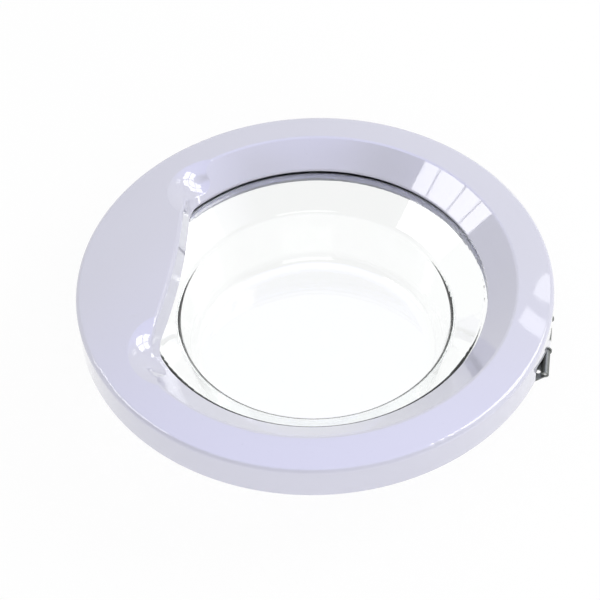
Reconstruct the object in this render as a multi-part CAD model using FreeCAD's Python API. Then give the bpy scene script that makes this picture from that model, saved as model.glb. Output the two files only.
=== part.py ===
import FreeCAD, Part
import math
import os

from FreeCAD import Vector

os.makedirs("parts", exist_ok=True)

# Frame: the door lies front face up, as in the photograph. +Z is the front of the door,
# +X is the hinge side, -X is the grip side and the hinge line runs along Y.
# Z = 0 is the flat bottom of the glass bowl and the Z axis is the axis of the ring.
# All values are millimetres.

# Glass bowl
glass_wall = 5.0  # thickness of the pressed glass
glass_depth = 85.0  # bowl bottom to the underside of its flange
flange_lap = 10.9  # flange beyond the round window
shoulder_in = 3.1  # from the window edge to the top of the shoulder cone
shoulder_run = 31.0  # width of the cone
shoulder_drop = 25.0  # height of the cone
wall_draft = 10.0  # lean of the steep wall, degrees
bend_flange = 9.0  # bend radii of the upper face of the glass
bend_waist = 12.0
bend_bottom = 15.0
flange_edge = 2.0  # rounding of the flange edge

# Front frame, one moulding with the grip
ring_r = 230.0  # outside radius of the door
skin = 2.5  # moulded wall of the front frame
opening_r = 167.1  # radius of the round window
lip_h = 4.6  # upright lip between glass and funnel
funnel_run = 27.5  # width of the funnel, seen from the front
funnel_rise = 20.0  # height of the funnel
crown_r = 640.0  # radius of the crowned front in section
crown_top_r = 128.0  # where the crown would be highest
rim_round = 5.0  # rounding of the outer edge
crease_round = 4.0  # rounding between crowned front and funnel
skirt_drop = 14.4  # skirt below the top of the glass flange
grip_x = 132.3  # lower edge of the grip lip from the door axis
grip_rake = 4.0  # how far the grip lip leans back over the funnel height
grip_bulge_r = 680.0  # slow curve of the grip lip, seen from the front
grip_corner_r = 45.0  # corner between grip lip and round window
dish_x = 120.0  # middle of the soft hollow at each end of the grip
dish_y = 108.0
dish_reach = 50.0  # radius of that hollow
dish_depth = 20.0
dish_round = 3.0  # rounding of its edges
grip_drop = 23.0  # lower edge of the grip lip below the crown
edge_round = 1.2  # rounding of the lower funnel edge
glass_slit = 2.4  # open slit between the window lip and the glass
clamp_in = 5.5  # window edge to the rib that clamps the glass
clamp_web = 2.4  # web between the window lip and that rib
well_margin = 30.0  # how far the opening tool reaches above its lower outline

# Back frame
back_wall = 2.5  # moulded wall of the back frame
back_recess = 1.0  # back frame inside the skirt edge
back_fit = 0.3  # gap between skirt and back frame
seat_clear = 1.3  # glass seat beyond the bend of the glass
flange_fit = 0.4  # gap round the flange edge
rim_fit = 0.5  # gap between the flange fence and the front frame
upstand_h = 9.4  # outer wall of the back frame
groove_w = 4.5  # relief groove under the glass seat

# Frame screws
screw_count = 8
screw_r = 2.0  # outside of the thread
screw_len = 16.0
head_r = 4.2
head_h = 2.6
screw_fit = 0.05  # gap between thread and moulded hole
pass_fit = 0.3  # gap between thread and a plain hole
boss_r = 4.6
cup_r = 8.0  # raised cup round a screw head
cup_depth = 4.5
cup_fit = 1.4  # gap between screw head and cup
rib_t = 2.0
rib_drop = 16.0  # depth of the ribs under the crown
tip_gap = 1.0  # blind hole beyond the screw tip

# Hinge
sheet = 1.6  # steel sheet of both hinge plates
pin_r = 2.0  # hinge pin
pin_fit = 0.05  # running gap of the hinge pin
press_gap = 0.01  # gap of pieces held on the pin
hinge_inset = 3.2  # hinge line inside the outer edge of the door
hinge_y = -12.0  # middle of the hinge along its line
mid_half = 8.0  # half length of the middle knuckle
spacer_len = 11.0  # plastic spacer beside the middle knuckle
spacer_r = 3.3
washer_t = 1.7  # steel washer beside the spacer
washer_r = 4.9
side_gap = 0.3  # end play along the pin
leaf_knuckle_end = 50.5  # outer end of the leaf knuckles
pin_short = 0.5  # pin ends inside the outer knuckle ends
leaf_half = 57.0  # half length of the hinge leaf
leaf_width = 41.0  # hinge line to the inner edge of the leaf
leaf_slant = 9.4  # hinge line to the start of the slanted ends
leaf_round = 8.0
leaf_bend = 4.0  # rounding where the slanted ends begin
leaf_window = 9.0  # depth of the cut-out round the middle knuckle
leaf_hole_r = 2.75  # screw holes to the cabinet
leaf_hole_in = 24.0  # hinge line to the middle of the hole pattern
leaf_hole_dx = 18.0
leaf_hole_dy = 76.0
peg_hole_r = 2.6  # small locating hole near the knuckle
peg_hole_in = 6.6
peg_hole_y = 45.0
plate_half = 60.0  # half length of the plate on the door
plate_width = 35.0  # hinge line to the inner edge of the plate
plate_neck = 11.0  # hinge line to the plate edge beside the knuckles
plate_step_y = 34.0  # where the near end of the plate reaches the edge of the back frame
ear_over = 1.0  # upturned end of the plate above the notch
ear_fit = 1.5  # gap between upturned end and back frame
plate_screw_in = 22.0  # hinge line to the plate screws
plate_screw_y1 = 12.0
plate_screw_y2 = 36.0
plate_screw_len = 18.0
sink_r = 3.9  # countersunk head
notch_half = 61.0  # half length of the hinge notch in the skirt
notch_rise_y = 24.0  # where the notch begins to rise towards its near end
notch_mid_h = 4.0  # height of the notch at the knuckles
notch_end_h = 19.5  # height of the notch at its near end

# Latch
latch_up = 12.9  # latch pivot above the top of the back plate
latch_pin_r = 2.0
hook_hub_r = 6.0
hook_w = 9.0  # width of the hook shank
hook_len = 46.0  # pivot to the tip of the hook
hook_nose = 4.0  # reach of the nose
hook_nose_h = 11.5  # height of the nose
hook_t = 8.0  # thickness of the hook
hook_y = -3.6  # middle of the hook along the pin
hook_travel = 14.0  # swing of the hook, degrees
hook_stop_gap = 0.4  # gap to the stop at rest
hook_swing_gap = 1.4  # gap at the other end of the swing
holder_fit = 1.6  # gap between the holder and the walls beside it
holder_half_y = 22.0
holder_base = 2.5
cheek_in = 8.0  # inner face of the cheeks
cheek_t = 3.0
cheek_half = 8.0
cheek_above = 6.0  # cheeks above the pivot
latch_screw_y = 17.0
latch_screw_len = 12.0
latch_boss_h = 10.0
wire_r = 0.5  # spring wire
coil_turns = 3.5
coil_pitch = 1.25
coil_y = 1.3  # first turn along the pin
leg_bend = 1.2  # bend of the leg behind the hook
spring_gap = 0.1  # gap between spring and its neighbours

# Levels and radii that follow from the values above
flange_low = glass_depth
flange_top = flange_low + glass_wall
funnel_low = flange_top + lip_h
crease_z = funnel_low + funnel_rise
skirt_z = flange_top - skirt_drop
back_z = skirt_z + back_recess
back_top = back_z + back_wall
cup_low = back_z + cup_depth
cup_top = cup_low + back_wall
flange_r = opening_r + flange_lap
shoulder_r = opening_r - shoulder_in
waist_r = shoulder_r - shoulder_run
cone_angle = math.atan2(shoulder_drop, shoulder_run)
seat_r = shoulder_r + bend_flange * math.tan(cone_angle / 2) + seat_clear
rim_r = opening_r + skin
crease_r = opening_r + funnel_run
crown_c = crease_z - math.sqrt(crown_r ** 2 - (crease_r - crown_top_r) ** 2)
crown_top = crown_c + crown_r
crown_inner = grip_x - grip_rake * 3
grip_low = crown_top - grip_drop
fence_in = flange_r + flange_fit
fence_out = fence_in + back_wall
back_r = ring_r - skin - back_fit
screw_circle_r = (fence_out + back_r - back_wall) / 2
knuckle_r = pin_r + sheet
hinge_x = ring_r - hinge_inset
hinge_z = back_z - knuckle_r
leaf_low = hinge_z - knuckle_r
leaf_window_x = hinge_x - leaf_window
plate_neck_x = hinge_x - plate_neck
ear_top = skirt_z + notch_end_h + ear_over
washer_y = mid_half + side_gap + spacer_len + side_gap
leaf_start_y = washer_y + washer_t + side_gap
pivot_x = -screw_circle_r
pivot_z = back_top + latch_up
holder_top = back_top + holder_base
holder_half_x = (back_r - back_wall - fence_out) / 2 - holder_fit
slope = math.atan2(funnel_rise, funnel_run)
tool_drop = (skin - skin * math.sin(slope)) / math.cos(slope)


def polar(radius, degrees, height):
    angle = math.radians(degrees)
    return Vector(radius * math.cos(angle), radius * math.sin(angle), height)


def cylinder(radius, height, base, axis=Vector(0, 0, 1)):
    return Part.makeCylinder(radius, height, base, axis)


def tube(inner, outer, low, high):
    body = cylinder(outer, high - low, Vector(0, 0, low))
    return body.cut(cylinder(inner, high - low + 2, Vector(0, 0, low - 1)))


def block(x0, x1, y0, y1, z0, z1):
    return Part.makeBox(x1 - x0, y1 - y0, z1 - z0, Vector(x0, y0, z0))


def hinge_block(x0, x1, y0, y1, z0, z1):
    """Block with its y values counted from the middle of the hinge."""
    return block(x0, x1, hinge_y + y0, hinge_y + y1, z0, z1)


def revolve(edges):
    face = Part.Face(Part.Wire(Part.sortEdges(edges)[0]))
    solid = face.revolve(Vector(0, 0, 0), Vector(0, 0, 1), 360)
    return Part.Solid(solid) if solid.ShapeType == "Shell" else solid


def section(radius, height):
    return Vector(radius, 0, height)


def rounded(points, radii):
    """Edges of a closed outline with its corners rounded; a radius of 0 keeps the corner."""
    edges = []
    starts = []
    ends = []
    count = len(points)
    for i in range(count):
        here = points[i]
        back = (points[i - 1] - here).normalize()
        ahead = (points[(i + 1) % count] - here).normalize()
        half = back.getAngle(ahead) / 2
        reach = radii[i] / math.tan(half) if radii[i] else 0.0
        starts.append(here + back * reach)
        ends.append(here + ahead * reach)
        if radii[i]:
            middle = (back + ahead).normalize()
            centre = here + middle * (radii[i] / math.sin(half))
            edges.append(Part.Arc(starts[i], centre - middle * radii[i], ends[i]).toShape())
    for i in range(count):
        tail = starts[(i + 1) % count]
        if ends[i].distanceToPoint(tail) > 1e-6:
            edges.append(Part.makeLine(ends[i], tail))
    return edges


def prism(edges, direction):
    return Part.Face(Part.Wire(Part.sortEdges(edges)[0])).extrude(direction)


def door_glass():
    """Pressed bowl: flange, shoulder cone, steep wall and flat bottom."""
    lean = math.radians(wall_draft)
    waist_z = flange_top - shoulder_drop
    foot_r = waist_r - (waist_z - glass_wall) * math.tan(lean)
    steep = math.pi / 2 - lean
    # corners of the lower face lie one wall thickness below those of the upper face
    shift_flange = glass_wall * math.tan(cone_angle / 2)
    turn = (cone_angle + steep) / 2
    shift_waist = glass_wall / math.cos((steep - cone_angle) / 2)
    shift_foot = glass_wall * math.tan(steep / 2)
    outline = [
        section(0, glass_wall),
        section(foot_r, glass_wall),
        section(waist_r, waist_z),
        section(shoulder_r, flange_top),
        section(flange_r, flange_top),
        section(flange_r, flange_low),
        section(shoulder_r + shift_flange, flange_low),
        section(waist_r + shift_waist * math.sin(turn), waist_z - shift_waist * math.cos(turn)),
        section(foot_r + shift_foot, 0),
        section(0, 0),
    ]
    radii = [
        0,
        bend_bottom,
        bend_waist,
        bend_flange,
        flange_edge,
        flange_edge,
        bend_flange - glass_wall,
        bend_waist - glass_wall,
        bend_bottom + glass_wall,
        0,
    ]
    return revolve(rounded(outline, radii))


def crown_blank(inset, inner, low):
    """Ring under the crowned front, its outer face moved inwards by inset."""
    outer = ring_r - inset
    big = crown_r - inset
    small = rim_round - inset
    centre_r = outer - small
    centre_z = crown_c + math.sqrt((big - small) ** 2 - (centre_r - crown_top_r) ** 2)
    lean = math.atan2(centre_r - crown_top_r, centre_z - crown_c)
    join = section(centre_r + small * math.sin(lean), centre_z + small * math.cos(lean))
    half = (lean + math.pi / 2) / 2
    round_mid = section(centre_r + small * math.sin(half), centre_z + small * math.cos(half))
    end = math.asin((inner - crown_top_r) / big)
    turn = (lean + end) / 2
    crown_mid = section(crown_top_r + big * math.sin(turn), crown_c + big * math.cos(turn))
    crown_end = section(inner, crown_c + big * math.cos(end))
    wall_top = section(outer, centre_z)
    return revolve(
        [
            Part.makeLine(section(inner, low), section(outer, low)),
            Part.makeLine(section(outer, low), wall_top),
            Part.Arc(wall_top, round_mid, join).toShape(),
            Part.Arc(join, crown_mid, crown_end).toShape(),
            Part.makeLine(crown_end, section(inner, low)),
        ]
    )


def window_outline(radius, lip, bulge, corner, height):
    """Round window cut off by the grip lip, its two corners rounded."""
    away = lip + bulge
    reach_lip = bulge + corner
    reach_ring = radius - corner
    cx = (reach_lip ** 2 - reach_ring ** 2 - away ** 2) / (2 * away)
    cy = math.sqrt(reach_ring ** 2 - cx ** 2)
    lip_centre = Vector(-away, 0, height)
    edges = []
    corners = [Vector(cx, cy, height), Vector(cx, -cy, height)]
    on_ring = []
    on_lip = []
    for centre in corners:
        out = Vector(centre.x, centre.y, 0).normalize()
        towards = (lip_centre - centre).normalize()
        on_ring.append(centre + out * corner)
        on_lip.append(centre + towards * corner)
        middle = centre + (out + towards).normalize() * corner
        edges.append(Part.Arc(on_ring[-1], middle, on_lip[-1]).toShape())
    edges.append(Part.Arc(on_ring[0], Vector(radius, 0, height), on_ring[1]).toShape())
    edges.append(Part.Arc(on_lip[0], Vector(-lip, 0, height), on_lip[1]).toShape())
    return Part.Wire(Part.sortEdges(edges)[0])


def window_tool(offset, drop):
    """Space in front of funnel and grip lip; offset and drop move its faces into the moulding."""
    share = well_margin / funnel_rise
    low = window_outline(
        opening_r + offset,
        grip_x + offset,
        grip_bulge_r - offset,
        grip_corner_r + offset,
        funnel_low - drop,
    )
    high = window_outline(
        opening_r + offset + funnel_run * share,
        grip_x + offset + grip_rake * share,
        grip_bulge_r - offset - grip_rake * share,
        grip_corner_r + offset,
        funnel_low - drop + well_margin,
    )
    return Part.makeLoft([low, high], True, True)


def grip_dishes(offset):
    """Space in the soft hollows at both ends of the grip, its face moved down by offset."""
    bend = (dish_reach ** 2 + dish_depth ** 2) / (4 * dish_depth)
    turn = 2 * math.atan(dish_depth / dish_reach)
    low = []
    brim = []
    for share in (0, 0.5, 1):
        across = math.sin(turn * share)
        rise = math.cos(turn * share)
        low.append(section((bend + offset) * across, bend - dish_depth - (bend + offset) * rise))
        brim.append(section(dish_reach - (bend - offset) * across, (bend - offset) * rise - bend))
    top = [section(dish_reach, well_margin), section(0, well_margin)]
    reach = math.hypot(dish_x, dish_y)
    lean = math.degrees(math.asin((reach - crown_top_r) / crown_r))
    dishes = []
    for side in (-1, 1):
        dish = revolve(
            [
                Part.Arc(low[0], low[1], low[2]).toShape(),
                Part.Arc(brim[2], brim[1], brim[0]).toShape(),
                Part.makeLine(brim[0], top[0]),
                Part.makeLine(top[0], top[1]),
                Part.makeLine(top[1], low[0]),
            ]
        )
        dish.rotate(Vector(0, 0, 0), Vector(-side * dish_y, -dish_x, 0), lean)
        dish.translate(Vector(-dish_x, side * dish_y, crown_height(reach)))
        dishes.append(dish)
    return dishes


def screw_places():
    step = 360.0 / screw_count
    return [polar(screw_circle_r, step * (i + 0.5), 0) for i in range(screw_count)]


def plate_screw_places():
    rows = [plate_screw_y1, plate_screw_y2]
    x = hinge_x - plate_screw_in
    return [Vector(x, hinge_y + side * y, 0) for y in rows for side in (-1, 1)]


def latch_screw_places():
    return [Vector(pivot_x, side * latch_screw_y, 0) for side in (-1, 1)]


def hinge_notch():
    """Notch of the skirt that bares the hinge, highest at its near end."""
    x0 = hinge_x / 2
    deep = skirt_z - 5
    outline = [
        Vector(x0, hinge_y - notch_half, deep),
        Vector(x0, hinge_y - notch_half, skirt_z + notch_end_h),
        Vector(x0, hinge_y - notch_rise_y, skirt_z + notch_mid_h),
        Vector(x0, hinge_y + notch_half, skirt_z + notch_mid_h),
        Vector(x0, hinge_y + notch_half, deep),
    ]
    band = tube(ring_r - skin - 0.2, ring_r + 10, deep, crown_top)
    return prism(rounded(outline, [0, 3, 6, 3, 0]), Vector(ring_r, 0, 0)).common(band)


def front_frame():
    """Front moulding: crowned ring, funnel, grip, skirt, bosses and ribs."""
    outer = crown_blank(0, crown_inner, skirt_z)
    outer = outer.cut(window_tool(0, 0))
    outer = outer.cut(cylinder(opening_r, grip_low - skirt_z + 1, Vector(0, 0, skirt_z - 1)))
    crest = []
    for edge in outer.Edges:
        points = edge.discretize(7)
        heights = [abs(crown_height(math.hypot(p.x, p.y)) - p.z) for p in points]
        reach = [math.hypot(p.x, p.y) for p in points]
        if max(heights) < 0.05 and max(reach) < crease_r + 3:
            crest.append(edge)
    outer = outer.makeFillet(crease_round, crest)
    low_edge = []
    for edge in outer.Edges:
        if max(abs(p.z - funnel_low) for p in edge.discretize(7)) < 0.01:
            low_edge.append(edge)
    outer = outer.makeFillet(edge_round, low_edge)
    for dish in grip_dishes(0):
        outer = outer.cut(dish)
        brim = []
        for edge in outer.Edges:
            spots = [Part.Vertex(point) for point in edge.discretize(7)]
            if max(spot.distToShape(dish.Shells[0])[0] for spot in spots) < 0.01:
                brim.append(edge)
        outer = outer.makeFillet(dish_round, brim)
    inner_tool = window_tool(skin, tool_drop)
    hollow = crown_blank(skin, rim_r, skirt_z - 1).cut(inner_tool)
    well = crown_blank(skin, crown_inner, grip_low - 1)
    core = cylinder(opening_r, crown_top - grip_low + 2, Vector(0, 0, grip_low - 1))
    well = well.common(core).cut(inner_tool)
    for dish in grip_dishes(skin):
        hollow = hollow.cut(dish)
        well = well.cut(dish)
    frame = outer.cut(hollow).cut(well)
    below = skirt_z - 1
    frame = frame.cut(cylinder(rim_r, flange_top + glass_slit - below, Vector(0, 0, below)))
    frame = frame.fuse(glass_clamp().common(outer))
    frame = frame.cut(hinge_notch())
    bosses = []
    holes = []
    for place in screw_places():
        bosses.append(cylinder(boss_r, crown_top - cup_top, place + Vector(0, 0, cup_top)))
        depth = screw_len - back_wall + tip_gap
        holes.append(cylinder(screw_r + screw_fit, depth, place + Vector(0, 0, cup_top)))
        rib = block(rim_r - 1, ring_r - 1, -rib_t / 2, rib_t / 2, crown_top - rib_drop, crown_top)
        turn = math.degrees(math.atan2(place.y, place.x))
        rib.rotate(Vector(0, 0, 0), Vector(0, 0, 1), turn)
        bosses.append(rib)
    seat_space = cylinder(fence_out + rim_fit, flange_top - back_top, Vector(0, 0, back_top))
    for place in plate_screw_places():
        boss = cylinder(boss_r, crown_top - back_top, place + Vector(0, 0, back_top))
        bosses.append(boss.cut(seat_space))
        depth = plate_screw_len - sheet - back_wall + tip_gap
        holes.append(cylinder(screw_r + screw_fit, depth, place + Vector(0, 0, back_top)))
    for boss in bosses:
        frame = frame.fuse(boss.common(outer))
    for hole in holes:
        frame = frame.cut(hole)
    return frame.removeSplitter()


def glass_clamp():
    """Rib under the funnel that presses the glass flange on its seat."""
    inner = opening_r + clamp_in
    top = funnel_low + clamp_web
    outline = [
        section(rim_r - skin / 2, funnel_low),
        section(inner, funnel_low),
        section(inner, flange_top),
        section(inner + skin, flange_top),
        section(inner + skin, top),
        section(rim_r - skin / 2, top),
    ]
    return revolve(rounded(outline, [0] * len(outline)))


def crown_height(radius):
    return crown_c + math.sqrt(crown_r ** 2 - (radius - crown_top_r) ** 2)


def back_frame():
    """Back moulding: glass seat, back plate, screw cups and latch slot."""
    fence_top = flange_top - rim_fit
    outline = [
        section(seat_r, back_z),
        section(back_r, back_z),
        section(back_r, back_z + upstand_h),
        section(back_r - back_wall, back_z + upstand_h),
        section(back_r - back_wall, back_top),
        section(fence_out, back_top),
        section(fence_out, fence_top),
        section(fence_in, fence_top),
        section(fence_in, flange_low),
        section(seat_r, flange_low),
    ]
    frame = revolve(rounded(outline, [1, 0, 0, 0, 0, 0, 0, 0, 0, 1]))
    groove_in = seat_r + back_wall
    frame = frame.cut(tube(groove_in, groove_in + groove_w, back_z - 1, flange_low - back_wall))
    gap_half = plate_half + ear_fit
    gap = hinge_block(0, ring_r, -gap_half, gap_half, back_z - 1, back_z + upstand_h + 1)
    frame = frame.cut(gap.common(tube(back_r - sheet - ear_fit, ring_r, back_z - 1, flange_top)))
    clear_x = hinge_x - washer_r - side_gap
    clear_top = back_z + upstand_h + 1
    frame = frame.cut(
        hinge_block(clear_x, ring_r, -leaf_start_y, leaf_start_y, back_z - 1, clear_top)
    )
    for place in screw_places():
        frame = frame.fuse(cylinder(cup_r, cup_top - back_z, place + Vector(0, 0, back_z)))
    for place in screw_places():
        pocket = place + Vector(0, 0, back_z - 1)
        frame = frame.cut(cylinder(head_r + cup_fit, cup_depth + 1, pocket))
        frame = frame.cut(cylinder(screw_r + pass_fit, cup_top - back_z + 2, pocket))
    for place in plate_screw_places():
        foot = place + Vector(0, 0, back_z - sheet)
        frame = frame.cut(cylinder(screw_r + pass_fit, plate_screw_len + tip_gap, foot))
    for place in latch_screw_places():
        frame = frame.cut(cylinder(screw_r + pass_fit, back_wall + 2, place + Vector(0, 0, back_z - 1)))
    frame = frame.cut(latch_slot(back_z - 1, back_top + 1))
    return frame.removeSplitter()


def latch_slot(low, high):
    travel = math.radians(hook_travel)
    reach = (pivot_z - back_z) * math.sin(travel) + hook_w / 2 + hook_swing_gap
    x0 = pivot_x - reach
    x1 = pivot_x + hook_w / 2 + hook_stop_gap
    y0 = hook_y - hook_t / 2 - 1
    y1 = hook_y + hook_t / 2 + 1
    return block(x0, x1, y0, y1, low, high)


def pan_screw(place, seat_z, length):
    """Pan-head screw standing upright, its head under seat_z."""
    head = cylinder(head_r, head_h, place + Vector(0, 0, seat_z - head_h))
    rim = [edge for edge in head.Edges if edge.BoundBox.ZMax < seat_z - head_h + 0.01]
    head = head.makeFillet(1.2, [edge for edge in rim if edge.BoundBox.XLength > head_r])
    shank = cylinder(screw_r, length, place + Vector(0, 0, seat_z))
    tip = [edge for edge in shank.Edges if edge.BoundBox.ZMin > seat_z + length - 0.01]
    return head.fuse(shank.makeChamfer(0.9, tip)).removeSplitter()


def frame_screws():
    return Part.makeCompound([pan_screw(place, cup_low, screw_len) for place in screw_places()])


def latch_screws():
    places = latch_screw_places()
    return Part.makeCompound([pan_screw(place, back_z, latch_screw_len) for place in places])


def hinge_plate_screws():
    """Countersunk screws, flush with the plate on the door."""
    screws = []
    for place in plate_screw_places():
        foot = place + Vector(0, 0, back_z - sheet)
        head = Part.makeCone(sink_r, screw_r, sheet, foot)
        shank = cylinder(screw_r, plate_screw_len, foot)
        tip = [edge for edge in shank.Edges if edge.BoundBox.ZMin > foot.z + plate_screw_len - 0.01]
        screws.append(head.fuse(shank.makeChamfer(0.9, tip)).removeSplitter())
    return Part.makeCompound(screws)


def along_hinge(radius, y0, y1):
    return cylinder(radius, y1 - y0, Vector(hinge_x, hinge_y + y0, hinge_z), Vector(0, 1, 0))


def hinge_door_plate():
    """Plate screwed to the back of the door, rolled into the middle knuckle."""
    low = back_z - sheet
    inner_x = hinge_x - plate_width
    rim = cylinder(back_r, sheet, Vector(0, 0, low))
    plate = hinge_block(inner_x, hinge_x, -plate_half, plate_half, low, back_z).common(rim)
    for y0, y1 in ((-plate_step_y, -mid_half), (mid_half, plate_half)):
        plate = plate.cut(hinge_block(plate_neck_x, ring_r, y0, y1, low - 1, back_z + 1))
    plate = plate.fuse(hinge_block(plate_neck_x - 2, hinge_x, -mid_half, mid_half, low, back_z))
    wall = tube(back_r - sheet, back_r, low, ear_top)
    plate = plate.fuse(wall.common(hinge_block(0, ring_r, -plate_half, -plate_step_y, low, ear_top)))
    plate = plate.fuse(along_hinge(knuckle_r, -mid_half, mid_half))
    plate = plate.cut(along_hinge(pin_r + press_gap, -mid_half - 1, mid_half + 1))
    for place in plate_screw_places():
        foot = place + Vector(0, 0, low)
        plate = plate.cut(Part.makeCone(sink_r + screw_fit, screw_r + screw_fit, sheet, foot))
        plate = plate.cut(cylinder(screw_r + screw_fit, sheet + 2, foot - Vector(0, 0, 1)))
    return plate.removeSplitter()


def hinge_leaf():
    """Leaf for the cabinet, folded under the door, with a knuckle at each end."""
    inner_x = hinge_x - leaf_width
    slant_x = hinge_x - leaf_slant
    outline = [
        Vector(inner_x, hinge_y - leaf_half, leaf_low),
        Vector(slant_x, hinge_y - leaf_half, leaf_low),
        Vector(hinge_x, hinge_y - leaf_knuckle_end, leaf_low),
        Vector(hinge_x, hinge_y + leaf_knuckle_end, leaf_low),
        Vector(slant_x, hinge_y + leaf_half, leaf_low),
        Vector(inner_x, hinge_y + leaf_half, leaf_low),
    ]
    radii = [leaf_round, leaf_bend, 0, 0, leaf_bend, leaf_round]
    leaf = prism(rounded(outline, radii), Vector(0, 0, sheet))
    leaf = leaf.cut(
        hinge_block(leaf_window_x, ring_r + 9, -leaf_start_y, leaf_start_y, leaf_low - 1, back_z)
    )
    for side in (-1, 1):
        y0, y1 = sorted((side * leaf_start_y, side * leaf_knuckle_end))
        leaf = leaf.fuse(along_hinge(knuckle_r, y0, y1))
    leaf = leaf.cut(along_hinge(pin_r + pin_fit, -leaf_half, leaf_half))
    for side in (-1, 1):
        for row in (-1, 1):
            x = hinge_x - leaf_hole_in + row * leaf_hole_dx / 2
            place = Vector(x, hinge_y + side * leaf_hole_dy / 2, leaf_low - 1)
            leaf = leaf.cut(cylinder(leaf_hole_r, sheet + 2, place))
        peg = Vector(hinge_x - peg_hole_in, hinge_y + side * peg_hole_y, leaf_low - 1)
        leaf = leaf.cut(cylinder(peg_hole_r, sheet + 2, peg))
    return leaf.removeSplitter()


def hinge_pin():
    end = leaf_knuckle_end - pin_short
    pin = along_hinge(pin_r, -end, end)
    return pin.makeChamfer(pin_r / 4, [edge for edge in pin.Edges if edge.BoundBox.YLength < 0.01])


def on_hinge(radius, start, length, side):
    y0, y1 = sorted((side * start, side * (start + length)))
    ring = along_hinge(radius, y0, y1)
    return ring.cut(along_hinge(pin_r + press_gap, y0 - 1, y1 + 1))


def hinge_spacer(side):
    return on_hinge(spacer_r, mid_half + side_gap, spacer_len, side)


def hinge_washer(side):
    return on_hinge(washer_r, washer_y, washer_t, side)


def along_latch(radius, y0, y1):
    return cylinder(radius, y1 - y0, Vector(pivot_x, y0, pivot_z), Vector(0, 1, 0))


def latch_holder():
    """Moulded holder on the inside of the back plate that carries the latch pin."""
    base = block(
        pivot_x - holder_half_x,
        pivot_x + holder_half_x,
        -holder_half_y,
        holder_half_y,
        back_top,
        holder_top,
    )
    holder = base
    for side in (-1, 1):
        y0, y1 = sorted((side * cheek_in, side * (cheek_in + cheek_t)))
        x0 = pivot_x - cheek_half
        x1 = pivot_x + cheek_half
        holder = holder.fuse(block(x0, x1, y0, y1, back_top, pivot_z))
        holder = holder.fuse(along_latch(cheek_half, y0, y1))
    top = pivot_z + cheek_above
    holder = holder.cut(block(pivot_x - 20, pivot_x + 20, -20, 20, top, top + 20))
    for place in latch_screw_places():
        holder = holder.fuse(cylinder(boss_r, latch_boss_h, place + Vector(0, 0, back_top)))
    for place in latch_screw_places():
        depth = latch_screw_len + tip_gap
        holder = holder.cut(cylinder(screw_r + screw_fit, depth, place + Vector(0, 0, back_top - 1)))
    holder = holder.cut(latch_slot(back_top - 1, holder_top + 1))
    holder = holder.cut(along_latch(latch_pin_r + press_gap, -30, 30))
    return holder.removeSplitter()


def latch_pin():
    half = cheek_in + cheek_t + 0.5
    return along_latch(latch_pin_r, -half, half)


def latch_hook():
    """Hook that drops into the door lock of the cabinet; its nose points to the window."""
    y0 = hook_y - hook_t / 2
    left = pivot_x - hook_w / 2
    right = pivot_x + hook_w / 2
    low = pivot_z - hook_len
    outline = [
        Vector(left, y0, pivot_z),
        Vector(left, y0, low),
        Vector(right - 1, y0, low),
        Vector(right + hook_nose, y0, low + hook_nose_h - 4),
        Vector(right + hook_nose, y0, low + hook_nose_h),
        Vector(right, y0, low + hook_nose_h),
        Vector(right, y0, pivot_z),
    ]
    hook = prism(rounded(outline, [0, 4, 1.5, 1.5, 0.8, 1.5, 0]), Vector(0, hook_t, 0))
    hook = hook.fuse(along_latch(hook_hub_r, y0, y0 + hook_t))
    return hook.cut(along_latch(latch_pin_r + pin_fit, -30, 30)).removeSplitter()


def latch_spring():
    """Torsion spring on the latch pin, one leg behind the hook and one on the holder."""
    coil_r = hook_w / 2 + wire_r + spring_gap
    leg = pivot_z - holder_top - spring_gap
    helix = Part.makeHelix(coil_pitch, coil_turns * coil_pitch, coil_r)
    rise = math.atan2(coil_pitch, 2 * math.pi * coil_r)
    # drawn upright at the origin; the first leg leaves along -Y and is bent over to -Z
    back = Vector(0, -math.cos(rise), -math.sin(rise))
    over = Vector(0, 0, -1)
    start = Vector(coil_r, 0, 0)
    knee = start + back * (leg - wire_r)
    half = (math.pi - back.getAngle(over)) / 2
    reach = leg_bend / math.tan(half)
    inside = (over - back).normalize()
    middle = knee + inside * (leg_bend / math.sin(half) - leg_bend)
    tip = knee + over * (hook_t / 2)
    turn = 2 * math.pi * coil_turns
    end = Vector(coil_r * math.cos(turn), coil_r * math.sin(turn), coil_turns * coil_pitch)
    ahead = Vector(-math.sin(turn) * math.cos(rise), math.cos(turn) * math.cos(rise), math.sin(rise))
    edges = [Part.makeLine(tip, knee + over * reach)]
    edges.append(Part.Arc(knee + over * reach, middle, knee - back * reach).toShape())
    edges.append(Part.makeLine(knee - back * reach, start))
    edges.extend(helix.Edges)
    edges.append(Part.makeLine(end, end + ahead * leg))
    ring = Part.Wire(Part.makeCircle(wire_r, tip, over))
    spring = Part.Wire(edges).makePipeShell([ring], True, False)
    # laid along the pin with its legs down
    spring.rotate(Vector(0, 0, 0), Vector(0, 0, 1), 180)
    spring.rotate(Vector(0, 0, 0), Vector(1, 0, 0), -90)
    spring.translate(Vector(pivot_x, coil_y, pivot_z))
    return spring


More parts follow.
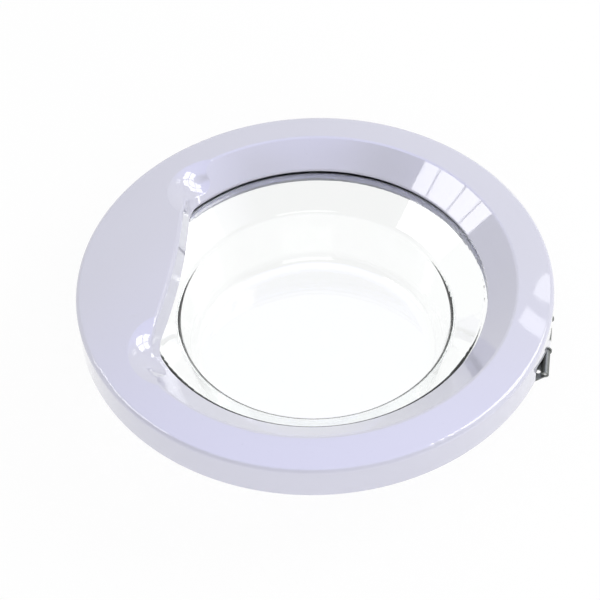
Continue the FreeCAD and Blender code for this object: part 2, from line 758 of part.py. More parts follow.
nodes = {
    "front_frame": front_frame(),
    "back_frame": back_frame(),
    "door_glass": door_glass(),
    "frame_screws": frame_screws(),
    "hinge_door_plate": hinge_door_plate(),
    "hinge_plate_screws": hinge_plate_screws(),
    "hinge_pin": hinge_pin(),
    "hinge_spacer_upper": hinge_spacer(1),
    "hinge_spacer_lower": hinge_spacer(-1),
    "hinge_washer_upper": hinge_washer(1),
    "hinge_washer_lower": hinge_washer(-1),
    "hinge_leaf": hinge_leaf(),
    "latch_holder": latch_holder(),
    "latch_screws": latch_screws(),
    "latch_pin": latch_pin(),
    "latch_spring": latch_spring(),
    "latch_hook": latch_hook(),
}
for name, shape in nodes.items():
    shape.exportStep("parts/" + name + ".step")
    print(name, shape.isValid(), len(shape.Solids), round(shape.Volume))
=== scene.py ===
import math

import bmesh
import bpy
from mathutils import Matrix, Vector


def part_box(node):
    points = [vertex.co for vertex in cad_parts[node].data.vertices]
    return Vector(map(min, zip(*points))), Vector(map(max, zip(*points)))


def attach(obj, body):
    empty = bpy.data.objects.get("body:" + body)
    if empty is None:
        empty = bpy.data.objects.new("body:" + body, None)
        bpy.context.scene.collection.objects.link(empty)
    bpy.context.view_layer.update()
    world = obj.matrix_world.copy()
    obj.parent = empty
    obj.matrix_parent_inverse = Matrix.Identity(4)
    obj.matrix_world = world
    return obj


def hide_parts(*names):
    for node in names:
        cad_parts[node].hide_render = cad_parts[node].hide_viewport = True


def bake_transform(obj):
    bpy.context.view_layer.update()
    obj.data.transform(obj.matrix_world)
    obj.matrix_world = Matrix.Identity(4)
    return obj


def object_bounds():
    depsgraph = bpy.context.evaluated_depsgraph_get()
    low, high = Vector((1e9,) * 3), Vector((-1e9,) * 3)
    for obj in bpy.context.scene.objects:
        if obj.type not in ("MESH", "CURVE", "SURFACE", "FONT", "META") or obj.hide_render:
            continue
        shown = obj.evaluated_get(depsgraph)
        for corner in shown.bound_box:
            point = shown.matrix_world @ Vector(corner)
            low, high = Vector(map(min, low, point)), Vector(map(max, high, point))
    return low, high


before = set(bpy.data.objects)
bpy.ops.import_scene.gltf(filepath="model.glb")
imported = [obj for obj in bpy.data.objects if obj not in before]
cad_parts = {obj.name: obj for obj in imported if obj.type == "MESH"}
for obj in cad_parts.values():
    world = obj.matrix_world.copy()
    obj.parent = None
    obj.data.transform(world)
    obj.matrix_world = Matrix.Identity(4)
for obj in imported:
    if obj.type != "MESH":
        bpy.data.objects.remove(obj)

bl_info = {
    "name": "Washing Machine Door",
    "version": (1, 0, 0),
    "blender": (4, 5, 0),
    "location": "View3D > Sidebar > Door",
    "description": "Finishes, screws and stage of a round washing machine door",
    "category": "Object",
}

MM = 0.001
WHITE = (1.0, 1.0, 1.0, 1.0)
BLACK = (0.0, 0.0, 0.0, 1.0)
CAD_BOX = [list(corner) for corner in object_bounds()]

# Screws
FRAME_SCREWS = 8  # evenly round the back frame
SEGMENTS = 40  # sides of a screw
FACE_RINGS = 22  # rings of a head's face, fine enough for its cross recess
ROUND_RINGS = 6  # rings of the rounded edge of a pan head
TURN_RINGS = 8  # rings in one turn of the thread
FIRST_TURN = 0.4  # how far the first screw of a set is turned, radians
NEXT_TURN = 1.7  # and each one after it
TIP_LENGTH = 1.2 * MM  # tapered end of a screw
SHARP_ANGLE = math.radians(35.0)  # edges sharper than this stay sharp

# Shares of a screw's own sizes
PAN_FLAT = 0.72  # flat face of a pan head, of its radius
PAN_ROUND = 0.48  # rounded edge of a pan head, of its height
PAN_NECK = 0.98  # shank under a pan head, of the thread's radius
SINK_FLAT = 0.97  # flat face of a countersunk head, of its radius
SINK_EDGE = 0.05  # bevelled edge of a countersunk head, of its height
SINK_NECK = 1.02  # shank under a countersunk head, of the thread's radius
TIP_SHARE = 0.5  # end of the tip, of the thread's radius
RECESS_REACH = 0.56  # arms of the cross recess, of the head's radius
RECESS_DEPTH = 0.55  # depth of the cross recess, of the head's height
ARM_HALF = 0.22  # half width of an arm, of its reach
ARM_SOFT = 0.08  # softened edge of an arm, of its reach
CREST = 0.98  # crest of the thread, of its radius
GROOVE = 0.36  # depth of the thread, of its radius
FLANK = 1.5  # steepness of the thread's flanks

# Lamps. An aim is azimuth, elevation and roll in degrees, then the distance in metres.
LAMP_AIM = Vector((0.0, 0.0, 0.1))  # point that the lamps face
# Windows: aim, widths of the columns, heights of the rows, bar, share of the radiance
WINDOWS = {
    "grip_window": ((182.0, 43.0, 35.0, 2.5), (0.26, 0.32, 0.44, 0.28), (0.5,), 0.03, 1.0),
    "hinge_window": ((26.0, 51.0, 0.0, 2.5), (0.56, 0.56), (0.74, 0.74), 0.08, 1.0),
    "far_window": ((61.5, 45.0, 0.0, 2.5), (0.38,), (0.16, 0.11), 0.09, 0.4),
}
# Fills: aim, width and height
FILLS = {
    "near_fill": ((-76.0, 35.0, 0.0, 3.0), (2.0, 1.2)),
    "hinge_fill": ((18.0, 38.0, 0.0, 2.5), (1.4, 1.5)),
    "far_fill": ((75.0, 22.0, 0.0, 2.5), (1.0, 0.7)),
}

# World as the gloss sees it, by parts of the direction
OVERHEAD = (0.66, 0.96)  # heights over which it turns blue
FRONT = (-0.05, -0.4)  # Y over which it turns dark
FRONT_TOP = (0.945, 0.845)  # heights over which that darkness sets in, from above

FLOOR_HALF = 6.0  # half the floor's width, metres
FLOOR_GAP = 0.4 * MM  # floor below the bowl
SENSOR = 36.0  # width of the camera's sensor, millimetres


class Sock:
    """Output socket of a shader node; arithmetic on it adds Math nodes."""

    def __init__(self, shader, socket):
        self.shader = shader
        self.socket = socket

    def math(self, operation, *values):
        return self.shader.node("ShaderNodeMath", {"operation": operation}, dict(enumerate(values)))

    def __add__(self, other):
        return self.math("ADD", self, other)

    __radd__ = __add__

    def __sub__(self, other):
        return self.math("SUBTRACT", self, other)

    def __rsub__(self, other):
        return self.math("SUBTRACT", other, self)

    def __mul__(self, other):
        return self.math("MULTIPLY", self, other)

    __rmul__ = __mul__

    def larger(self, other):
        return self.math("MAXIMUM", self, other)


class Shader:
    """Node tree of a material or of the world."""

    def __init__(self, owner):
        owner.use_nodes = True
        self.owner = owner
        self.tree = owner.node_tree
        self.tree.nodes.clear()

    def node(self, kind, settings=None, sockets=None, output=0):
        node = self.tree.nodes.new(kind)
        for name, value in (settings or {}).items():
            setattr(node, name, value)
        for name, value in (sockets or {}).items():
            if isinstance(value, Sock):
                self.tree.links.new(value.socket, node.inputs[name])
            else:
                node.inputs[name].default_value = value
        return Sock(self, node.outputs[output]) if len(node.outputs) else None

    def place(self):
        """Place on the piece itself, so that a pattern moves with it."""
        return self.node("ShaderNodeTexCoord", output="Object")

    def stretch(self, vector, factors):
        return self.node("ShaderNodeVectorMath", {"operation": "MULTIPLY"}, {0: vector, 1: factors})

    def parts(self, vector, axis):
        return self.node("ShaderNodeSeparateXYZ", None, {0: vector}, axis)

    def noise(self, vector, scale, detail):
        sockets = {"Vector": vector, "Scale": scale, "Detail": detail}
        return self.node("ShaderNodeTexNoise", None, sockets)

    def ramp(self, value, start, end):
        """0 up to start, 1 from end on and smooth between them; start may be the larger."""
        sockets = {"Value": value, "From Min": start, "From Max": end}
        return self.node("ShaderNodeMapRange", {"interpolation_type": "SMOOTHSTEP"}, sockets)

    def blend(self, factor, first, second):
        sockets = {0: factor, 6: first, 7: second}
        return self.node("ShaderNodeMix", {"data_type": "RGBA"}, sockets, 2)

    def bump(self, height, strength, distance):
        sockets = {"Height": height, "Strength": strength, "Distance": distance}
        return self.node("ShaderNodeBump", None, sockets)

    def finish(self, sockets, volume=None):
        surface = self.node("ShaderNodeBsdfPrincipled", None, sockets)
        ends = {"Surface": surface}
        if volume:
            ends["Volume"] = volume
        self.node("ShaderNodeOutputMaterial", None, ends)
        return self.owner


def new_shader(name):
    return Shader(bpy.data.materials.new(name))


def tone(colour, factor):
    return (colour[0] * factor, colour[1] * factor, colour[2] * factor, 1.0)


class DoorPlastic(bpy.types.PropertyGroup):
    """White mouldings."""

    front: bpy.props.FloatVectorProperty(
        name="Front colour",
        description="Colour of the glossy front moulding",
        subtype="COLOR",
        min=0.0,
        max=1.0,
        default=(0.572, 0.572, 0.674),
    )
    front_roughness: bpy.props.FloatProperty(
        name="Front roughness",
        description="Roughness of the polished front moulding",
        subtype="FACTOR",
        min=0.0,
        max=1.0,
        default=0.02,
    )
    back: bpy.props.FloatVectorProperty(
        name="Back colour",
        description="Colour of the matt back moulding and the latch holder",
        subtype="COLOR",
        min=0.0,
        max=1.0,
        default=(0.66, 0.66, 0.70),
    )
    spacer: bpy.props.FloatVectorProperty(
        name="Spacer colour",
        description="Colour of the bearing plastic on the hinge pin",
        subtype="COLOR",
        min=0.0,
        max=1.0,
        default=(0.78, 0.78, 0.80),
    )


class DoorGlass(bpy.types.PropertyGroup):
    """Pressed bowl."""

    tint: bpy.props.FloatVectorProperty(
        name="Tint",
        description="Colour that the glass takes on through its thickness",
        subtype="COLOR",
        min=0.0,
        max=1.0,
        default=(0.62, 0.86, 0.78),
    )
    density: bpy.props.FloatProperty(
        name="Tint density",
        description="How fast the tint builds up per metre of glass",
        min=0.0,
        default=4.0,
    )
    ripple: bpy.props.FloatProperty(
        name="Ripple",
        description="Height of the slow ripple left by pressing",
        unit="LENGTH",
        min=0.0,
        default=0.00012,
    )


class DoorMetal(bpy.types.PropertyGroup):
    """Hinge, screws, pins and latch."""

    hinge: bpy.props.FloatVectorProperty(
        name="Hinge colour",
        description="Colour of the dark passivated hinge sheet",
        subtype="COLOR",
        min=0.0,
        max=1.0,
        default=(0.19, 0.2, 0.19),
    )
    screw: bpy.props.FloatVectorProperty(
        name="Screw colour",
        description="Colour of the zinc-plated screws",
        subtype="COLOR",
        min=0.0,
        max=1.0,
        default=(0.50, 0.50, 0.47),
    )
    pin: bpy.props.FloatVectorProperty(
        name="Pin colour",
        description="Colour of the drawn steel of pins and spring",
        subtype="COLOR",
        min=0.0,
        max=1.0,
        default=(0.60, 0.60, 0.60),
    )
    hook: bpy.props.FloatVectorProperty(
        name="Hook colour",
        description="Colour of the cast latch hook",
        subtype="COLOR",
        min=0.0,
        max=1.0,
        default=(0.36, 0.36, 0.37),
    )
    spring_wire: bpy.props.FloatProperty(
        name="Spring wire",
        description="Thickness of the wire of the latch spring",
        unit="LENGTH",
        default=1.0 * MM,
    )
    spring_leg: bpy.props.FloatProperty(
        name="Spring leg",
        description="Length of the bent leg that lies behind the hook",
        unit="LENGTH",
        default=4.5 * MM,
    )


class DoorScrews(bpy.types.PropertyGroup):
    """Sizes of the three kinds of screws."""

    head: bpy.props.FloatProperty(
        name="Pan head radius",
        description="Radius of the pan heads",
        unit="LENGTH",
        default=4.2 * MM,
    )
    head_height: bpy.props.FloatProperty(
        name="Pan head height",
        description="Height of the pan heads",
        unit="LENGTH",
        default=2.6 * MM,
    )
    sink: bpy.props.FloatProperty(
        name="Countersunk radius",
        description="Radius of the countersunk heads",
        unit="LENGTH",
        default=3.9 * MM,
    )
    sink_height: bpy.props.FloatProperty(
        name="Countersunk height",
        description="Height of the countersunk heads",
        unit="LENGTH",
        default=1.6 * MM,
    )
    thread: bpy.props.FloatProperty(
        name="Thread radius",
        description="Outside radius of the thread",
        unit="LENGTH",
        default=2.0 * MM,
    )
    pitch: bpy.props.FloatProperty(
        name="Thread pitch",
        description="Distance between two turns of the thread",
        unit="LENGTH",
        default=1.4 * MM,
    )
    inner_row: bpy.props.FloatProperty(
        name="Inner hinge screws",
        description="Distance of the inner two hinge screws from the middle",
        unit="LENGTH",
        default=12.0 * MM,
    )


class DoorStage(bpy.types.PropertyGroup):
    """Camera, lamps and floor."""

    target: bpy.props.FloatVectorProperty(
        name="Camera target",
        description="Point in the middle of the image",
        subtype="TRANSLATION",
        default=(-0.01958, 0.02892, 0.04658),
    )
    distance: bpy.props.FloatProperty(
        name="Camera distance",
        description="Camera to its target",
        unit="LENGTH",
        default=1.993,
    )
    azimuth: bpy.props.FloatProperty(
        name="Camera azimuth",
        description="Camera turned round the door",
        subtype="ANGLE",
        default=math.radians(9.4),
    )
    elevation: bpy.props.FloatProperty(
        name="Camera elevation",
        description="Camera above the horizon",
        subtype="ANGLE",
        default=math.radians(48.228),
    )
    roll: bpy.props.FloatProperty(
        name="Camera roll",
        description="Camera turned round its own axis",
        subtype="ANGLE",
        default=math.radians(-2.252),
    )
    lens: bpy.props.FloatProperty(
        name="Lens",
        description="Focal length in millimetres on a 36 mm sensor",
        default=120.0,
    )
    window_light: bpy.props.FloatProperty(
        name="Window radiance",
        description="Radiance of the windows that show in the gloss",
        default=4.6,
    )
    fill_light: bpy.props.FloatProperty(
        name="Fill radiance",
        description="Radiance of the large soft lamps",
        default=2.9,
    )
    ambient: bpy.props.FloatProperty(
        name="Ambient light",
        description="Strength of the even light from all round",
        default=0.775,
    )
    overhead: bpy.props.FloatVectorProperty(
        name="Overhead light",
        description="Radiance overhead that shows in the gloss",
        default=(1.25, 1.25, 2.3),
    )
    floor_share: bpy.props.FloatProperty(
        name="Floor brightness",
        description="Share of the floor's own white seen by camera, gloss and glass",
        subtype="FACTOR",
        min=0.0,
        max=1.0,
        default=0.93,
    )


def front_white():
    """Polished white moulding with a clear gloss, soft flow marks, hairline rubs and some dust."""
    props = bpy.context.scene.door_plastic
    shader = new_shader("front_white")
    place = shader.place()
    flow = shader.noise(shader.stretch(place, (7.0, 7.0, 20.0)), scale=1.0, detail=3.0)
    wave = shader.noise(place, scale=42.0, detail=0.0)
    peel = shader.noise(place, scale=240.0, detail=2.0)
    grain = shader.noise(place, scale=1900.0, detail=1.0)
    hair = shader.noise(shader.stretch(place, (2200.0, 60.0, 300.0)), scale=1.0, detail=1.0)
    rubs = shader.ramp(hair, 0.68, 0.78) * shader.ramp(flow, 0.45, 0.7)
    dust = shader.ramp(shader.noise(place, scale=520.0, detail=0.0), 0.80, 0.86)
    colour = shader.blend(flow, tone(props.front, 0.975), tone(props.front, 1.02))
    colour = shader.blend(dust * 0.35, colour, tone(props.front, 0.7))
    relief = wave * 0.9 + peel * 0.08 + grain * 0.02
    sockets = {
        "Base Color": colour,
        "Roughness": props.front_roughness + 0.03 * flow + 0.10 * rubs + 0.25 * dust,
        "IOR": 1.5,
        "Coat Weight": 1.0,
        "Coat Roughness": 0.02,
        "Normal": shader.bump(relief, strength=0.5, distance=0.0003),
    }
    return shader.finish(sockets)


def back_white():
    """Spark-eroded matt moulding with a fine even grain."""
    props = bpy.context.scene.door_plastic
    shader = new_shader("back_white")
    place = shader.place()
    cloud = shader.noise(place, scale=14.0, detail=3.0)
    grain = shader.noise(place, scale=1500.0, detail=2.0)
    colour = shader.blend(cloud, tone(props.back, 0.96), tone(props.back, 1.03))
    sockets = {
        "Base Color": colour,
        "Roughness": 0.42 + 0.12 * grain + 0.05 * cloud,
        "IOR": 1.48,
        "Normal": shader.bump(grain, strength=0.25, distance=0.0003),
    }
    return shader.finish(sockets)


def bearing_white():
    """Turned bearing plastic with faint lathe rings."""
    props = bpy.context.scene.door_plastic
    shader = new_shader("bearing_white")
    place = shader.place()
    rings = shader.noise(shader.stretch(place, (40.0, 4000.0, 40.0)), scale=1.0, detail=1.0)
    cloud = shader.noise(place, scale=160.0, detail=2.0)
    colour = shader.blend(cloud, tone(props.spacer, 0.94), tone(props.spacer, 1.02))
    sockets = {
        "Base Color": colour,
        "Roughness": 0.36 + 0.12 * rings,
        "Normal": shader.bump(rings, strength=0.2, distance=0.0001),
    }
    return shader.finish(sockets)


def pressed_glass():
    """Clear pressed glass: slow ripple, a breath of haze and a green tint through its depth."""
    props = bpy.context.scene.door_glass
    shader = new_shader("pressed_glass")
    place = shader.place()
    ripple = shader.noise(place, scale=16.0, detail=1.0)
    haze = shader.noise(place, scale=55.0, detail=3.0)
    fine = shader.noise(place, scale=900.0, detail=1.0)
    sockets = {
        "Base Color": shader.blend(haze, (0.985, 0.995, 0.99, 1.0), WHITE),
        "Roughness": 0.012 * shader.ramp(haze, 0.45, 0.75) + 0.006 * fine,
        "IOR": 1.5,
        "Transmission Weight": 1.0,
        "Normal": shader.bump(ripple, strength=1.0, distance=props.ripple),
    }
    depth = {"Color": tone(props.tint, 1.0), "Density": props.density}
    return shader.finish(sockets, shader.node("ShaderNodeVolumeAbsorption", None, depth))


def dark_sheet():
    """Dark passivated sheet steel: rolling lines, cloudy film and rubbed spots."""
    props = bpy.context.scene.door_metal
    shader = new_shader("dark_sheet")
    place = shader.place()
    lines = shader.noise(shader.stretch(place, (1600.0, 25.0, 1600.0)), scale=1.0, detail=2.0)
    film = shader.noise(place, scale=90.0, detail=4.0)
    rubbed = shader.ramp(shader.noise(place, scale=210.0, detail=3.0), 0.62, 0.78)
    colour = shader.blend(film, tone(props.hinge, 0.7), tone(props.hinge, 1.35))
    colour = shader.blend(rubbed * 0.5, colour, (0.30, 0.30, 0.29, 1.0))
    sockets = {
        "Base Color": colour,
        "Metallic": 0.75 + 0.2 * rubbed,
        "Roughness": 0.34 + 0.14 * lines - 0.08 * rubbed,
        "Normal": shader.bump(lines * 0.6 + film * 0.4, strength=0.12, distance=0.0002),
    }
    return shader.finish(sockets)


def plated_screw():
    """Zinc plating with a cloudy film and small bright wear."""
    props = bpy.context.scene.door_metal
    shader = new_shader("plated_screw")
    place = shader.place()
    film = shader.noise(place, scale=420.0, detail=3.0)
    wear = shader.ramp(shader.noise(place, scale=1300.0, detail=2.0), 0.6, 0.75)
    colour = shader.blend(film, tone(props.screw, 0.8), tone(props.screw, 1.1))
    colour = shader.blend(wear * 0.4, colour, (0.72, 0.72, 0.70, 1.0))
    sockets = {
        "Base Color": colour,
        "Metallic": 1.0,
        "Roughness": 0.30 + 0.15 * film - 0.08 * wear,
        "Normal": shader.bump(film, strength=0.1, distance=0.0001),
    }
    return shader.finish(sockets)


def drawn_steel():
    """Bright drawn steel with fine draw lines along the pin."""
    props = bpy.context.scene.door_metal
    shader = new_shader("drawn_steel")
    place = shader.place()
    lines = shader.noise(shader.stretch(place, (5000.0, 60.0, 5000.0)), scale=1.0, detail=1.0)
    oil = shader.noise(place, scale=130.0, detail=3.0)
    colour = shader.blend(oil, tone(props.pin, 0.86), tone(props.pin, 1.08))
    sockets = {
        "Base Color": colour,
        "Metallic": 1.0,
        "Roughness": 0.20 + 0.12 * lines + 0.06 * oil,
        "Normal": shader.bump(lines, strength=0.08, distance=0.00005),
    }
    return shader.finish(sockets)


def cast_hook():
    """Blasted die casting: fine grain, with a polished nose where the lock rubs."""
    props = bpy.context.scene.door_metal
    shader = new_shader("cast_hook")
    place = shader.place()
    grain = shader.noise(place, scale=2100.0, detail=2.0)
    cloud = shader.noise(place, scale=180.0, detail=3.0)
    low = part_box("latch_hook")[0].z
    rubbed = 1.0 - shader.ramp(shader.parts(place, 2), low + 0.004, low + 0.014)
    colour = shader.blend(cloud, tone(props.hook, 0.85), tone(props.hook, 1.15))
    colour = shader.blend(rubbed * 0.6, colour, (0.55, 0.55, 0.55, 1.0))
    sockets = {
        "Base Color": colour,
        "Metallic": 1.0,
        "Roughness": 0.46 + 0.1 * grain - 0.2 * rubbed,
        "Normal": shader.bump(grain, strength=0.2, distance=0.0002),
    }
    return shader.finish(sockets)


def dress(material, *nodes):
    """Give CAD nodes their finish."""
    for name in nodes:
        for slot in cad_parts[name].material_slots:
            slot.material = material


def cross_depth(x, y, reach):
    """Share of the full depth of a cross recess at one point of a screw head."""
    arm = ARM_HALF * reach
    soft = ARM_SOFT * reach

    def step(value):
        share = min(max(value / soft + 0.5, 0.0), 1.0)
        return share * share * (3.0 - 2.0 * share)

    one = step(arm - abs(x)) * step(reach - abs(y))
    other = step(arm - abs(y)) * step(reach - abs(x))
    return max(one, other)


def screw_rings(props, countersunk, length):
    """Rings of one screw as (radius, height, kind), head first; the head's face is at height 0."""
    head = props.sink if countersunk else props.head
    height = props.sink_height if countersunk else props.head_height
    rings = []
    flat = head * (SINK_FLAT if countersunk else PAN_FLAT)
    for i in range(1, FACE_RINGS + 1):
        rings.append((flat * i / FACE_RINGS, 0.0, "face"))
    if countersunk:
        rings.append((head, SINK_EDGE * height, "plain"))
        rings.append((props.thread * SINK_NECK, height, "plain"))
    else:
        for i in range(1, ROUND_RINGS + 1):
            turn = math.pi / 2 * i / ROUND_RINGS
            radius = flat + (head - flat) * math.sin(turn)
            rings.append((radius, PAN_ROUND * height * (1.0 - math.cos(turn)), "plain"))
        rings.append((head, height, "plain"))
        rings.append((props.thread * PAN_NECK, height, "plain"))
    steps = int(length / props.pitch * TURN_RINGS)
    for i in range(1, steps + 1):
        rings.append((props.thread, height + (length - TIP_LENGTH) * i / steps, "thread"))
    rings.append((props.thread * TIP_SHARE, height + length, "plain"))
    return rings


def add_screw(mesh, props, centre, low, countersunk, length, turn):
    """One screw standing head down, with its cross recess and thread."""
    head = props.sink if countersunk else props.head
    reach = RECESS_REACH * head
    deep = RECESS_DEPTH * (props.sink_height if countersunk else props.head_height)
    rings = []
    for radius, height, kind in screw_rings(props, countersunk, length):
        ring = []
        for i in range(SEGMENTS):
            angle = 2.0 * math.pi * i / SEGMENTS
            here = radius
            up = height
            x = radius * math.cos(angle)
            y = radius * math.sin(angle)
            if kind == "face":
                up += deep * cross_depth(x, y, reach)
            if kind == "thread":
                wave = (height / props.pitch + i / SEGMENTS) % 1.0
                here = radius * (CREST - GROOVE * min(1.0, abs(2.0 * wave - 1.0) * FLANK))
            spot = Vector((here * math.cos(angle + turn), here * math.sin(angle + turn), low + up))
            ring.append(mesh.verts.new(centre + spot))
        rings.append(ring)
    first = mesh.verts.new(centre + Vector((0.0, 0.0, low + deep)))
    last = mesh.verts.new(centre + Vector((0.0, 0.0, rings[-1][0].co.z)))
    for i in range(SEGMENTS):
        j = (i + 1) % SEGMENTS
        mesh.faces.new((first, rings[0][j], rings[0][i]))
        mesh.faces.new((last, rings[-1][i], rings[-1][j]))
        for one, two in zip(rings, rings[1:]):
            mesh.faces.new((one[i], one[j], two[j], two[i]))


def screw_set(name, node, places, countersunk, material):
    """All screws of one CAD node as one piece that stands for it."""
    props = bpy.context.scene.door_screws
    low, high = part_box(node)
    height = props.sink_height if countersunk else props.head_height
    length = high.z - low.z - height
    mesh = bmesh.new()
    for i, place in enumerate(places):
        add_screw(mesh, props, place, low.z, countersunk, length, FIRST_TURN + NEXT_TURN * i)
    bmesh.ops.recalc_face_normals(mesh, faces=mesh.faces)
    data = bpy.data.meshes.new(name)
    mesh.to_mesh(data)
    mesh.free()
    data.materials.append(material)
    data.shade_smooth()
    data.set_sharp_from_angle(angle=SHARP_ANGLE)
    piece = bpy.data.objects.new(name, data)
    bpy.context.scene.collection.objects.link(piece)
    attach(piece, "door")
    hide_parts(node)


class DOOR_OT_front_frame(bpy.types.Operator):
    """Finish the front moulding with its grip"""

    bl_idname = "door.front_frame"
    bl_label = "Front Frame"

    def execute(self, context):
        dress(front_white(), "front_frame")
        return {"FINISHED"}


class DOOR_OT_back_frame(bpy.types.Operator):
    """Finish the back moulding and the latch holder"""

    bl_idname = "door.back_frame"
    bl_label = "Back Frame"

    def execute(self, context):
        dress(back_white(), "back_frame", "latch_holder")
        return {"FINISHED"}


class DOOR_OT_glass(bpy.types.Operator):
    """Finish the glass bowl"""

    bl_idname = "door.glass"
    bl_label = "Glass Bowl"

    def execute(self, context):
        dress(pressed_glass(), "door_glass")
        return {"FINISHED"}


class DOOR_OT_hinge(bpy.types.Operator):
    """Finish the hinge sheets, washers, spacers and pin"""

    bl_idname = "door.hinge"
    bl_label = "Hinge"

    def execute(self, context):
        sheet = dark_sheet()
        dress(sheet, "hinge_door_plate", "hinge_leaf")
        dress(sheet, "hinge_washer_upper", "hinge_washer_lower")
        dress(bearing_white(), "hinge_spacer_upper", "hinge_spacer_lower")
        dress(drawn_steel(), "hinge_pin")
        return {"FINISHED"}


def wound_spring():
    """Latch spring whose coil winds up as its bent leg follows the hook."""
    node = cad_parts["latch_spring"]
    piece = bpy.data.objects.new("latch_spring_wire", node.data.copy())
    piece.matrix_world = node.matrix_world.copy()
    bpy.context.scene.collection.objects.link(piece)
    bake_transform(piece)
    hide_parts("latch_spring")


class DOOR_OT_latch(bpy.types.Operator):
    """Finish the latch hook, its pin and its spring"""

    bl_idname = "door.latch"
    bl_label = "Latch"

    def execute(self, context):
        dress(cast_hook(), "latch_hook")
        dress(drawn_steel(), "latch_pin", "latch_spring")
        wound_spring()
        return {"FINISHED"}


class DOOR_OT_screws(bpy.types.Operator):
    """Build the screws with their cross recesses and threads"""

    bl_idname = "door.screws"
    bl_label = "Screws"

    def execute(self, context):
        props = context.scene.door_screws
        metal = plated_screw()
        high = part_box("frame_screws")[1]
        half = math.pi / FRAME_SCREWS
        radius = (high.x - props.head) / math.cos(half)
        turns = [half * (2 * i + 1) for i in range(FRAME_SCREWS)]
        ring = [Vector((radius * math.cos(t), radius * math.sin(t), 0.0)) for t in turns]
        screw_set("frame_screw_set", "frame_screws", ring, False, metal)
        low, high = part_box("latch_screws")
        middle = (low.x + high.x) / 2
        away = high.y - props.head
        pair = [Vector((middle, side * away, 0.0)) for side in (-1, 1)]
        screw_set("latch_screw_set", "latch_screws", pair, False, metal)
        low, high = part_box("hinge_plate_screws")
        middle = (low + high) / 2
        rows = (props.inner_row, high.y - middle.y - props.sink)
        four = [Vector((middle.x, middle.y + side * y, 0.0)) for y in rows for side in (-1, 1)]
        screw_set("hinge_screw_set", "hinge_plate_screws", four, True, metal)
        return {"FINISHED"}


def soft_lamp(name, aim, size, radiance):
    """Soft lamp that faces the door."""
    turn, rise, roll = (math.radians(angle) for angle in aim[:3])
    flat = math.cos(rise)
    away = Vector((math.cos(turn) * flat, math.sin(turn) * flat, math.sin(rise)))
    facing = (-away).to_track_quat("-Z", "Y").to_matrix().to_4x4()
    light = bpy.data.lights.new(name, "AREA")
    light.shape = "RECTANGLE"
    light.size = size[0]
    light.size_y = size[1]
    light.energy = radiance * math.pi * size[0] * size[1]
    lamp = bpy.data.objects.new(name, light)
    place = Matrix.Translation(LAMP_AIM + away * aim[3])
    lamp.matrix_world = place @ facing @ Matrix.Rotation(roll, 4, "Z")
    bpy.context.scene.collection.objects.link(lamp)
    return lamp


def window(name, aim, widths, heights, bar, radiance):
    """Window that shows only in gloss and glass: columns and rows of panes with bars between."""
    across = -(sum(widths) + bar * (len(widths) - 1)) / 2
    for i, width in enumerate(widths):
        up = -(sum(heights) + bar * (len(heights) - 1)) / 2
        for j, height in enumerate(heights):
            pane = soft_lamp(name + "_" + str(i) + str(j), aim, (width, height), radiance)
            pane.matrix_world @= Matrix.Translation((across + width / 2, up + height / 2, 0.0))
            pane.visible_diffuse = False
            up += height + bar
        across += width + bar


def add_camera(props):
    """Camera at the photograph's viewing angle."""
    turn = props.azimuth
    rise = props.elevation
    right = Vector((math.cos(turn), math.sin(turn), 0.0))
    back = Vector((
        math.cos(rise) * math.sin(turn),
        -math.cos(rise) * math.cos(turn),
        math.sin(rise),
    ))
    up = back.cross(right)
    side = right * math.cos(props.roll) + up * math.sin(props.roll)
    top = up * math.cos(props.roll) - right * math.sin(props.roll)
    data = bpy.data.cameras.new("door_camera")
    data.lens = props.lens
    data.sensor_width = SENSOR
    camera = bpy.data.objects.new("door_camera", data)
    place = Vector(props.target) + back * props.distance
    facing = Matrix((side, top, back)).transposed().to_4x4()
    camera.matrix_world = Matrix.Translation(place) @ facing
    bpy.context.scene.collection.objects.link(camera)
    bpy.context.scene.camera = camera


def seen_directly(shader):
    """1 for what camera, gloss and glass see, 0 for light that falls on the door."""
    seen = shader.node("ShaderNodeLightPath", output="Is Camera Ray")
    for kind in ("Is Glossy Ray", "Is Transmission Ray"):
        seen = seen.larger(shader.node("ShaderNodeLightPath", output=kind))
    return seen


def add_floor(props):
    """Pale floor that keeps the door's shadow."""
    shader = new_shader("studio_floor")
    cloud = shader.noise(shader.place(), scale=3.0, detail=2.0)
    shade = shader.blend(cloud, (0.86, 0.86, 0.87, 1.0), (0.9, 0.9, 0.9, 1.0))
    paper = shader.node("ShaderNodeBsdfDiffuse", None, {"Color": shade})
    white = shader.node("ShaderNodeEmission", None, {"Color": WHITE, "Strength": 1.0})
    through = shader.node("ShaderNodeLightPath", output="Is Transmission Ray")
    share = through.larger(seen_directly(shader) * props.floor_share)
    surface = shader.node("ShaderNodeMixShader", None, {0: share, 1: paper, 2: white})
    shader.node("ShaderNodeOutputMaterial", None, {"Surface": surface})
    mesh = bmesh.new()
    bmesh.ops.create_grid(mesh, x_segments=8, y_segments=8, size=FLOOR_HALF)
    data = bpy.data.meshes.new("studio_floor")
    mesh.to_mesh(data)
    mesh.free()
    data.materials.append(shader.owner)
    floor = bpy.data.objects.new("studio_floor", data)
    floor.location.z = CAD_BOX[0][2] - FLOOR_GAP
    bpy.context.scene.collection.objects.link(floor)


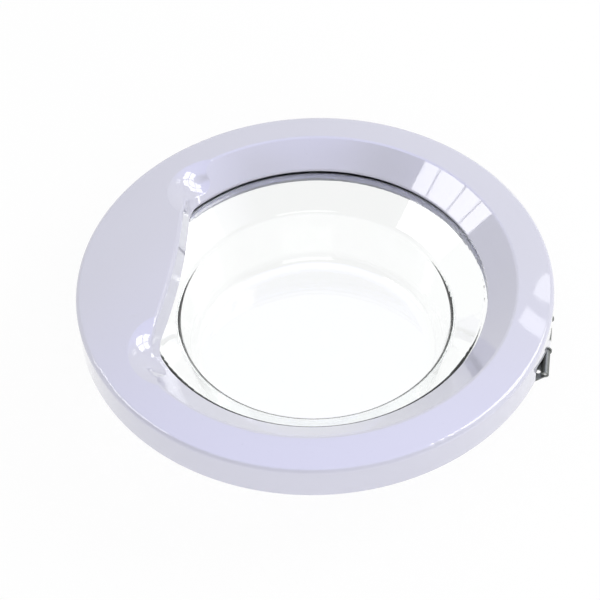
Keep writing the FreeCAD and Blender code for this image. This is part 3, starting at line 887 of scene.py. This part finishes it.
def add_world(props):
    """Even light; the gloss sees it white, bluer overhead and dark towards -Y."""
    world = bpy.data.worlds.new("studio_world")
    shader = Shader(world)
    direction = shader.node("ShaderNodeTexCoord", output="Generated")
    gloss = shader.node("ShaderNodeLightPath", output="Is Glossy Ray")
    along = shader.parts(direction, 1)
    height = shader.parts(direction, 2)
    front = shader.ramp(along, *FRONT) * shader.ramp(height, *FRONT_TOP)
    seen = shader.blend(shader.ramp(height, *OVERHEAD) * gloss, WHITE, (*props.overhead, 1.0))
    seen = shader.blend(front * gloss, seen, BLACK)
    soft = {"Color": WHITE, "Strength": props.ambient}
    plain = {"Color": seen, "Strength": 1.0}
    sockets = {
        0: seen_directly(shader),
        1: shader.node("ShaderNodeBackground", None, soft),
        2: shader.node("ShaderNodeBackground", None, plain),
    }
    surface = shader.node("ShaderNodeMixShader", None, sockets)
    shader.node("ShaderNodeOutputWorld", None, {"Surface": surface})
    bpy.context.scene.world = world


class DOOR_OT_stage(bpy.types.Operator):
    """Set up camera, lamps, floor and world"""

    bl_idname = "door.stage"
    bl_label = "Stage"

    def execute(self, context):
        props = context.scene.door_stage
        context.scene.view_settings.view_transform = "Standard"
        add_camera(props)
        add_floor(props)
        add_world(props)
        for name, (aim, widths, heights, bar, share) in WINDOWS.items():
            window(name, aim, widths, heights, bar, share * props.window_light)
        for name, (aim, size) in FILLS.items():
            soft_lamp(name, aim, size, props.fill_light).visible_glossy = False
        return {"FINISHED"}


class DOOR_PT_panel(bpy.types.Panel):
    """Pieces of the door and the stage"""

    bl_label = "Door"
    bl_idname = "DOOR_PT_panel"
    bl_space_type = "VIEW_3D"
    bl_region_type = "UI"
    bl_category = "Door"

    def draw(self, context):
        for operator in OPERATORS:
            self.layout.operator(operator.bl_idname)
        for name in GROUPS:
            group = getattr(context.scene, name)
            column = self.layout.column(heading=group.__doc__)
            for prop in group.__annotations__:
                column.prop(group, prop)


OPERATORS = (
    DOOR_OT_front_frame,
    DOOR_OT_back_frame,
    DOOR_OT_glass,
    DOOR_OT_hinge,
    DOOR_OT_latch,
    DOOR_OT_screws,
    DOOR_OT_stage,
)
GROUPS = {
    "door_plastic": DoorPlastic,
    "door_glass": DoorGlass,
    "door_metal": DoorMetal,
    "door_screws": DoorScrews,
    "door_stage": DoorStage,
}
CLASSES = (*GROUPS.values(), *OPERATORS, DOOR_PT_panel)


def register():
    for item in CLASSES:
        bpy.utils.register_class(item)
    for name, group in GROUPS.items():
        setattr(bpy.types.Scene, name, bpy.props.PointerProperty(type=group))


def unregister():
    for name in GROUPS:
        delattr(bpy.types.Scene, name)
    for item in reversed(CLASSES):
        bpy.utils.unregister_class(item)


def main():
    register()
    bpy.ops.door.front_frame()
    bpy.ops.door.back_frame()
    bpy.ops.door.glass()
    bpy.ops.door.hinge()
    bpy.ops.door.latch()
    bpy.ops.door.screws()
    bpy.ops.door.stage()


if __name__ == "__main__":
    main()
